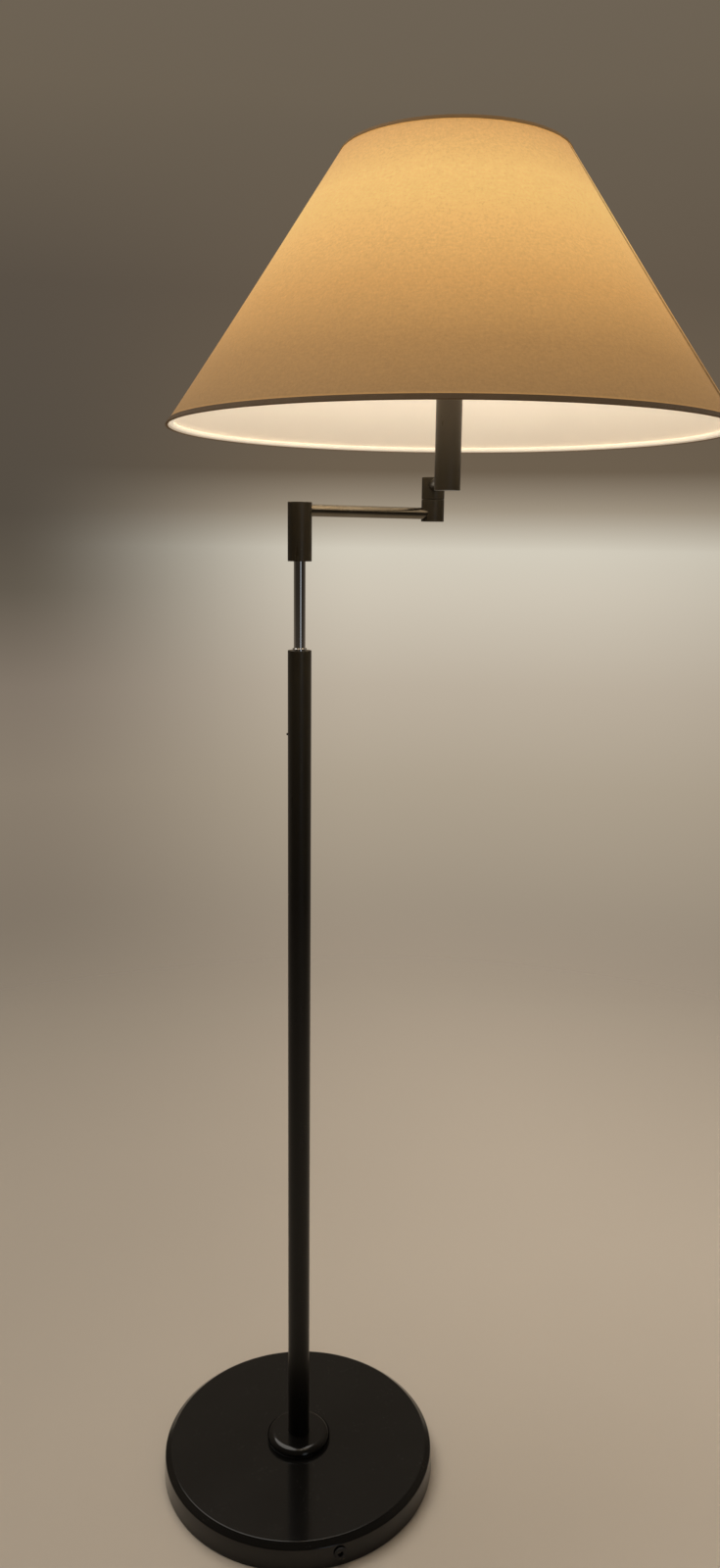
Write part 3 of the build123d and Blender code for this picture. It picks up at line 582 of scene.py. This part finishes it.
def spun_mesh(name, section, centre, angles, lift=None, height_lift=None, closed=True):
    """Carries a section round the upright line through centre:
    x = cx + r cos a, y = cy + r sin a, z = h, where r = radius + lift(a, i) and h = height +
    height_lift(a, i). The section's rows are i and the angles are a.
    The section runs up the outside and down the inside. Where it reaches radius 0 the ends are merged."""
    rows, columns = len(section), len(angles)
    a = angles[None, :]
    i = np.arange(rows)[:, None]
    r = section[:, :1] + (0 if lift is None else lift(a, i))
    h = section[:, 1:] + (0 if height_lift is None else height_lift(a, i)) + 0 * a
    points = np.stack([centre[0] + r * np.cos(a), centre[1] + r * np.sin(a), h], axis=-1).reshape(-1, 3)
    row = np.arange(rows if closed else rows - 1)[:, None]
    column = np.arange(columns)[None, :]
    next_row, next_column = (row + 1) % rows, (column + 1) % columns
    corners = [(row, column), (row, next_column), (next_row, next_column), (next_row, column)]
    faces = np.stack([(q * columns + c) for q, c in corners], axis=-1).reshape(-1, 4)
    mesh = bpy.data.meshes.new(name)
    mesh.from_pydata(points.tolist(), [], faces.tolist())
    along = np.concatenate([[0], np.cumsum(np.hypot(*np.diff(section, axis=0).T))])
    total = along[-1] + np.hypot(*(section[0] - section[-1]))
    reach = float(section[:, 0].max())
    turn = np.concatenate([angles, [angles[0] + 2 * pi]]) * reach
    length = np.concatenate([along, [total]])
    u = np.stack([turn[column], turn[column + 1], turn[column + 1], turn[column]], axis=-1)
    v = np.stack([length[row], length[row], length[row + 1], length[row + 1]], axis=-1)
    shape = (row.size, columns, 4)
    flat = np.stack([np.broadcast_to(u, shape), np.broadcast_to(v, shape)], axis=-1)
    layer = mesh.uv_layers.new(name="metres")
    layer.data.foreach_set("uv", flat.reshape(-1).astype(np.float32))
    if section[:, 0].min() < 1e-9:
        work = bmesh.new()
        work.from_mesh(mesh)
        bmesh.ops.remove_doubles(work, verts=work.verts, dist=1e-7)
        bmesh.ops.dissolve_degenerate(work, edges=work.edges, dist=1e-8)
        work.to_mesh(mesh)
        work.free()
    mesh.polygons.foreach_set("use_smooth", np.ones(len(mesh.polygons), bool))
    return mesh


def add_piece(mesh, finishes, body, slot, *replaced):
    """Shows a mesh with its finishes, riding on a body, in place of CAD nodes. slot is not used."""
    piece = bpy.data.objects.new(mesh.name, mesh)
    scene.collection.objects.link(piece)
    for finish in finishes:
        mesh.materials.append(finish)
    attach(piece, body)
    if replaced:
        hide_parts(*replaced)
    return piece


def sleeve_section(node, wall, edge):
    """A tube's section from its node's box, with its four edges rounded."""
    low, high = heights(node)
    r = radius(node)
    bore, bore_edge = r - wall, edge * 0.5
    return rounded([(bore, low, bore_edge), (r, low, edge), (r, high, edge), (bore, high, bore_edge)])


# ------------------------------------------------------------------ base


def cover_section():
    """The pressed cover: up a slightly tapered side, round a soft shoulder, over a bevel, round a tight
    turn on to the flat top, and back down inside the side wall."""
    low, high = heights("base_cover")
    r = radius("base_cover")
    wall = 1.5 * MM
    return rounded([
        (r - wall - 1.4 * MM, high - 8 * MM, 0),
        (r - wall, low, 0.3 * MM),
        (r, low, 0.5 * MM),
        (r - 1.4 * MM, high - 5.5 * MM, 2.5 * MM),
        (r - 8.5 * MM, high, 1.5 * MM),
        (r * 0.5, high, 0),
        (0, high, 0),
    ], arc_points=10)


def collar_section():
    """The collar: a short upright side, a wide quarter round and a flat top, bored for the pole."""
    low, high = heights("base_collar")
    r = radius("base_collar")
    bore = BLACK_R + 0.05 * MM
    return rounded([
        (bore, low, 0),
        (r, low, 0.3 * MM),
        (r, high, 9 * MM),
        (bore, high, 0.3 * MM),
    ], arc_points=24)


def add_base(gloss):
    """The cover and the collar at the pole's foot."""
    cover = spun_mesh("cover", cover_section(), POLE_AXIS, even_angles(288), closed=False)
    add_piece(cover, [gloss], "base", "gloss_black", "base_cover")
    collar = spun_mesh("foot_collar", collar_section(), POLE_AXIS, even_angles(144))
    add_piece(collar, [gloss], "base", "gloss_black", "base_collar")


# ------------------------------------------------------------------ black and chrome tubework


def add_tubework(black):
    """The pole, hub, elbow halves and upright tube, each with its edges broken."""
    edge = 0.5 * MM
    wall = 1.5 * MM
    add_piece(
        spun_mesh("pole", sleeve_section("pole_tube", wall, edge), POLE_AXIS, even_angles(96)),
        [black], "base", "satin_black", "pole_tube",
    )
    add_piece(
        spun_mesh("upright_tube", sleeve_section("holder_tube", wall, edge), HOLDER_AXIS, even_angles(96)),
        [black], "lamp_arm", "satin_black", "holder_tube",
    )
    turned = (
        ("hub", "hub_shell", POLE_AXIS, "first_arm"),
        ("elbow_lower", "elbow_lower_shell", ELBOW_AXIS, "first_arm"),
        ("elbow_upper", "elbow_upper_shell", ELBOW_AXIS, "lamp_arm"),
    )
    shell_wall = 2.5 * MM
    for name, node, axis, body in turned:
        low, high = heights(node)
        r, bore = BLACK_R, BLACK_R - shell_wall
        if name == "elbow_lower":
            corners = [(0, low, 0), (r, low, edge), (r, high, edge * 0.6), (bore, high, edge * 0.6),
                       (bore, low + shell_wall, 0), (0, low + shell_wall, 0)]
        else:
            corners = [(0, high - shell_wall, 0), (bore, high - shell_wall, 0), (bore, low, edge * 0.6),
                       (r, low, edge * 0.6), (r, high, edge), (0, high, 0)]
        mesh = spun_mesh(name, rounded(corners), axis, even_angles(96), closed=False)
        add_piece(mesh, [black], body, "satin_black", node)


# ------------------------------------------------------------------ lamp holder and bulb


def thread_lift(rows_z, pitch, depth, first, last):
    """A screw thread's lift of the radius: depth x (1 + cos(2 pi z / pitch - a)) / 2, faded at its ends."""
    def lift(a, i):
        z = rows_z[i]
        fade = np.clip((z - first) / pitch, 0, 1) * np.clip((last - z) / pitch, 0, 1)
        return depth * fade * (1 + np.cos(2 * pi * z / pitch - a)) / 2
    return lift


def outer_only(lift, outside):
    """The lift, kept to the rows of the section that lie outside."""
    return lambda a, i: lift(a, i) * outside[i]


def add_lamp_holder(plastic, nickel, opal):
    """The threaded socket, the two grip rings, the bulb's screw cap and its glass."""
    low, high = heights("socket_shell")
    r = radius("socket_shell")
    wall = 2.0 * MM
    thread_depth = 0.9 * MM
    outer_r = r - thread_depth
    rise = np.linspace(low + 0.4 * MM, high - 1.2 * MM, 160)
    outer = np.stack([np.full_like(rise, outer_r), rise], axis=-1)
    lip_r = radius("bulb_cap") + 1.1 * MM
    section = np.concatenate([
        [(r - wall, low), (outer_r, low)], outer,
        [(outer_r - 0.2 * MM, high - 0.3 * MM), (outer_r - 0.8 * MM, high), (lip_r, high),
         (lip_r, high - wall), (r - wall, high - wall)],
    ])
    lift = thread_lift(section[:, 1], 2.5 * MM, thread_depth, low + 1.5 * MM, high - 3 * MM)
    outside = (section[:, 0] > r - wall + 0.5 * MM)
    mesh = spun_mesh("socket_thread", section, HOLDER_AXIS, even_angles(96), outer_only(lift, outside))
    add_piece(mesh, [plastic], "lamp_arm", "black_plastic", "socket_shell")

    skirt_r = 22.0 * MM
    bore_r = r + 0.1 * MM
    for name, node in (("grip_ring_lower", "shade_ring_lower"), ("grip_ring_upper", "shade_ring_upper")):
        flange_low = node == "shade_ring_upper"
        low, high = heights(node)
        ring_r = radius(node)
        flange = 3.0 * MM
        edge = 0.6 * MM
        if flange_low:
            corners = [(bore_r, low, 0), (ring_r, low, edge), (ring_r, low + flange, edge),
                       (skirt_r, low + flange, edge), (skirt_r, high, edge), (bore_r, high, edge)]
        else:
            corners = [(bore_r, low, edge), (skirt_r, low, edge), (skirt_r, high - flange, edge),
                       (ring_r, high - flange, edge), (ring_r, high, edge), (bore_r, high, 0)]
        section = rounded(corners)
        rim = np.clip((section[:, 0] - (ring_r - 1.2 * MM)) / (1.0 * MM), 0, 1)

        def grips(a, i, rim=rim):
            """Forty shallow finger scallops round the flange."""
            return -0.5 * MM * rim[i] * np.clip(np.cos(40 * a), 0, 1) ** 2

        mesh = spun_mesh(name, section, HOLDER_AXIS, even_angles(320), grips)
        add_piece(mesh, [plastic], "lamp_arm", "black_plastic", node)

    low, high = heights("bulb_cap")
    r = radius("bulb_cap")
    thread_depth = 0.9 * MM
    inner_r = r - thread_depth
    rise = np.linspace(low + 0.5 * MM, high - 0.5 * MM, 140)
    outer = np.stack([np.full_like(rise, inner_r), rise], axis=-1)
    back_r = inner_r - 0.5 * MM
    foot = [(back_r, low), (inner_r - 0.2 * MM, low)]
    section = np.concatenate([foot, outer, [(inner_r, high), (back_r, high)]])
    lift = thread_lift(section[:, 1], 3.6 * MM, thread_depth, low + 1 * MM, high - 3 * MM)
    outside = section[:, 0] > back_r + 0.25 * MM
    mesh = spun_mesh("bulb_screw_cap", section, HOLDER_AXIS, even_angles(96), outer_only(lift, outside))
    add_piece(mesh, [nickel], "lamp_arm", "nickel", "bulb_cap")

    low, high = heights("bulb_glass")
    ball_r = radius("bulb_glass")
    neck_r = 12.0 * MM
    middle = high - ball_r
    t = np.linspace(0, 1, 60)
    shoulder_z = low + 9 * MM
    rise_z = shoulder_z + (middle - shoulder_z) * t
    ease = t * t * (3 - 2 * t)
    swell = 0.35 * ease + 0.65 * np.sin(t * pi / 2) ** 1.6
    belly = np.stack([neck_r + (ball_r - neck_r) * swell, rise_z], axis=-1)
    crown_a = np.linspace(0, pi / 2, 40)[1:]
    crown = np.stack([ball_r * np.cos(crown_a), middle + ball_r * np.sin(crown_a)], axis=-1)
    crown[-1, 0] = 0
    outer = np.concatenate([[(0, low), (neck_r - 1 * MM, low), (neck_r, low + 1 * MM)], belly, crown])
    mesh = spun_mesh("bulb_globe", outer, HOLDER_AXIS, even_angles(96), closed=False)
    add_piece(mesh, [opal], "lamp_arm", "bulb_glass", "bulb_glass")


# ------------------------------------------------------------------ shade


def shade_angles():
    """Even angles round the shade, with close ones where the lapped seam steps."""
    close = np.arange(-2, 3) * SEAM_STEP
    between = 6 * MM
    near = SEAM_ANGLE + np.concatenate([close, [between], LAP_WIDTH + close]) / SHADE_R_LOW
    return np.unique(np.concatenate([even_angles(360), near % (2 * pi)]))


def past_seam(a):
    """Metres along the lower edge from the skin's free end, in the direction in which angles grow."""
    return ((a - SEAM_ANGLE + pi) % (2 * pi) - pi) * SHADE_R_LOW


def add_shade(cloth, liner, hem, lower_tape, upper_tape):
    """One closed skin: cloth outside, liner inside, slightly bowed and uneven, with a lapped seam."""
    levels = 41
    rise = np.linspace(0, 1, levels)
    heights_up = SHADE_LOW + (SHADE_HIGH - SHADE_LOW) * rise
    outer_r = SHADE_R_LOW + (SHADE_R_HIGH - SHADE_R_LOW) * rise
    outer = np.stack([outer_r, heights_up], axis=-1)
    inner = np.stack([outer_r - SKIN_T, heights_up], axis=-1)[::-1]
    section = np.concatenate([outer, inner])
    share = np.concatenate([rise, rise[::-1]])
    outside = np.concatenate([np.ones(levels), np.zeros(levels)])

    def unevenness(a, i):
        """Rounded waves and a slight hollow, which die out at the two wire rings, and the lapped strip,
        which stands up from 0 to its thickness over half a millimetre and lifts most low down."""
        free = np.sin(pi * share[i])
        waves = 0.35 * np.sin(3 * a + 1.1) + 0.22 * np.sin(7 * a + 4 * share[i]) + 0.1 * np.sin(17 * a + 2.3)
        past = past_seam(a)
        end = LAP_WIDTH + SEAM_STEP
        lap = np.clip(past / (2 * SEAM_STEP) + 0.5, 0, 1) * np.clip((end - past) / end, 0, 1)
        lift = 0.5 + 0.9 * (1 - share[i])
        return (free * (waves - 0.7) + lap * lift * outside[i]) * MM

    mesh = spun_mesh("shade_skin_cloth", section, HOLDER_AXIS, shade_angles(), unevenness)
    columns = len(mesh.polygons) // len(section)
    sides = np.zeros(len(mesh.polygons), np.int32)
    sides[columns * (levels - 1):] = 1
    mesh.polygons.foreach_set("material_index", sides)
    turn_liner_metres(mesh, columns, levels)
    skin = add_piece(mesh, [cloth, liner], "lamp_arm", "shade_cloth", "shade_skin")
    roll = add_rolled_hem(hem)
    lower = add_trim("lower_tape", "shade_bottom_trim", 4.5 * MM, SHADE_LOW, -1, lower_tape)
    upper = add_trim("upper_tape", "shade_top_trim", 3.0 * MM, SHADE_HIGH, 1, upper_tape)


def turn_liner_metres(mesh, columns, levels):
    """Makes the liner's own v run from the lower edge up, as the cloth's does."""
    layer = mesh.uv_layers["metres"]
    flat = np.zeros(len(mesh.loops) * 2, np.float32)
    layer.data.foreach_get("uv", flat)
    flat = flat.reshape(-1, 2)
    first = columns * levels * 4
    flat[first:, 1] = SHADE_SLANT - (flat[first:, 1] - flat[first, 1])
    layer.data.foreach_set("uv", flat.reshape(-1))


def add_rolled_hem(hem):
    """The backing rolled round the lower wire: a circle of the roll's radius carried round the shade,
    x = middle + r cos t, z = middle + r sin t, with r swelling a little where the roll is gathered."""
    low, high = heights("shade_bottom_ring")
    wire_r = (high - low) / 2
    roll_r = wire_r + 0.7 * MM
    middle_r = radius("shade_bottom_ring") - wire_r
    t = even_angles(20)
    roll_middle_r = middle_r - 0.45 * MM
    section = np.stack([roll_middle_r + roll_r * np.cos(t), (low + high) / 2 + roll_r * np.sin(t)], axis=-1)

    def gather(a, i):
        swell = 0.12 * np.sin(29 * a) + 0.08 * np.sin(83 * a + 2) + 0.05 * np.sin(211 * a)
        return swell * MM * np.cos(t)[i]

    mesh = spun_mesh("rolled_hem", section, HOLDER_AXIS, even_angles(720), gather)
    return add_piece(mesh, [hem], "lamp_arm", "shade_cloth", "shade_bottom_ring")


def add_trim(name, node, band, edge_z, outward, tape):
    """A folded tape: it lies on the cloth over its band, turns round the edge and ends inside."""
    def cone_r(z):
        return SHADE_R_LOW - SHADE_SLOPE * (z - SHADE_LOW)

    proud, lift = 0.75 * MM, 0.12 * MM
    inner = 2.0 * MM
    far_z = edge_z - outward * band
    end_z = edge_z + outward * 0.5 * MM
    inside_z = edge_z + outward * 0.02 * MM
    corners = [
        (cone_r(far_z) + lift, far_z, 0),
        (cone_r(far_z) + lift + proud, far_z, 0.25 * MM),
        (cone_r(end_z) + lift + proud, end_z, 0.45 * MM),
        (cone_r(end_z) - inner, end_z, 0.15 * MM),
        (cone_r(edge_z) - inner, inside_z, 0),
        (cone_r(edge_z) + lift, inside_z, 0),
    ]
    if outward < 0:
        corners = corners[::-1]
    section = rounded(corners, arc_points=4, hold=0.15 * MM)
    outside = section[:, 0] > section[:, 0].min() + 1.2 * MM

    def handwork(a, i):
        """The tape is laid by hand, so it swells and narrows a little, and its ends overlap at the seam."""
        overlap_half, fade, thickness = 9.3, 0.6, 0.4
        overlap = np.clip((overlap_half - np.abs(past_seam(a) / MM)) / fade, 0, 1) * thickness
        swelling = 0.12 * np.sin(23 * a) + 0.08 * np.sin(61 * a + 1)
        return (swelling + overlap) * MM * outside[i]

    mesh = spun_mesh(name, section, HOLDER_AXIS, even_angles(720), handwork)
    return add_piece(mesh, [tape], "lamp_arm", "trim_tape", node)


# ------------------------------------------------------------------ the finishes of the CAD pieces


def dress(finishes):
    """Gives every CAD node that is shown the finish of its record slot."""
    for entry in frame["record"]["subparts"]:
        slots = nodes[entry["node"]].data.materials
        slots.clear()
        slots.append(finishes[entry["material_slot"]])


def make_finishes():
    plastic = moulded("black_bakelite", (0.012, 0.011, 0.01), (0.022, 0.019, 0.017), 0.28)
    return {
        "gloss_black": gloss_lacquer(),
        "satin_black": satin_lacquer(),
        "black_screw": turned_metal("blackened_steel", (0.03, 0.028, 0.025), (0.07, 0.065, 0.06), 0.35),
        "chrome": chrome(),
        "steel": turned_metal("zinc_plated_steel", (0.42, 0.42, 0.43), (0.6, 0.6, 0.6), 0.25),
        "nickel": turned_metal("nickel_plate", (0.52, 0.49, 0.44), (0.68, 0.65, 0.6), 0.2),
        "brass": turned_metal("turned_brass", (0.5, 0.34, 0.12), (0.7, 0.5, 0.22), 0.22),
        "cast_iron": cast_iron(),
        "nylon": moulded("natural_nylon", (0.6, 0.57, 0.5), (0.72, 0.69, 0.62), 0.45),
        "rubber": moulded("black_rubber", (0.012, 0.012, 0.012), (0.028, 0.027, 0.026), 0.7, 700.0, 0.06),
        "felt": felt(),
        "hardboard": moulded("brown_hardboard", (0.13, 0.075, 0.035), (0.24, 0.15, 0.08), 0.7, 500.0, 0.15),
        "black_plastic": plastic,
        "ceramic": moulded("white_steatite", (0.7, 0.67, 0.6), (0.8, 0.78, 0.72), 0.35),
        "bulb_glass": opal_glass(),
        "white_wire": moulded("white_enamel", (0.6, 0.57, 0.5), (0.74, 0.71, 0.64), 0.3),
        "shade_cloth": shade_cloth(),
        # The lower tape's base colours are dark: its brown is partly painted shade, for the shade under the
        # lampshade's rim.
        "trim_tape": trim_tape("brown_tape", (0.12, 0.07, 0.028), (0.21, 0.13, 0.06), (0.02, 0.011, 0.004)),
    }


# ------------------------------------------------------------------ put together

add_camera()
add_room()
add_floor()
add_soft_light("overhead", (0.2, -0.27, -1.0), 1.45, 52, (1.0, 0.955, 0.89))
scene.view_settings.view_transform = "Standard"
finishes = make_finishes()
dress(finishes)
add_base(finishes["gloss_black"])
add_tubework(finishes["satin_black"])
add_lamp_holder(finishes["black_plastic"], finishes["nickel"], finishes["bulb_glass"])
top_tape = trim_tape("brown_top_tape", (0.12, 0.07, 0.03), (0.2, 0.12, 0.055), (0.1, 0.05, 0.012))
add_shade(finishes["shade_cloth"], shade_liner(), hem_cloth(), finishes["trim_tape"], top_tape)
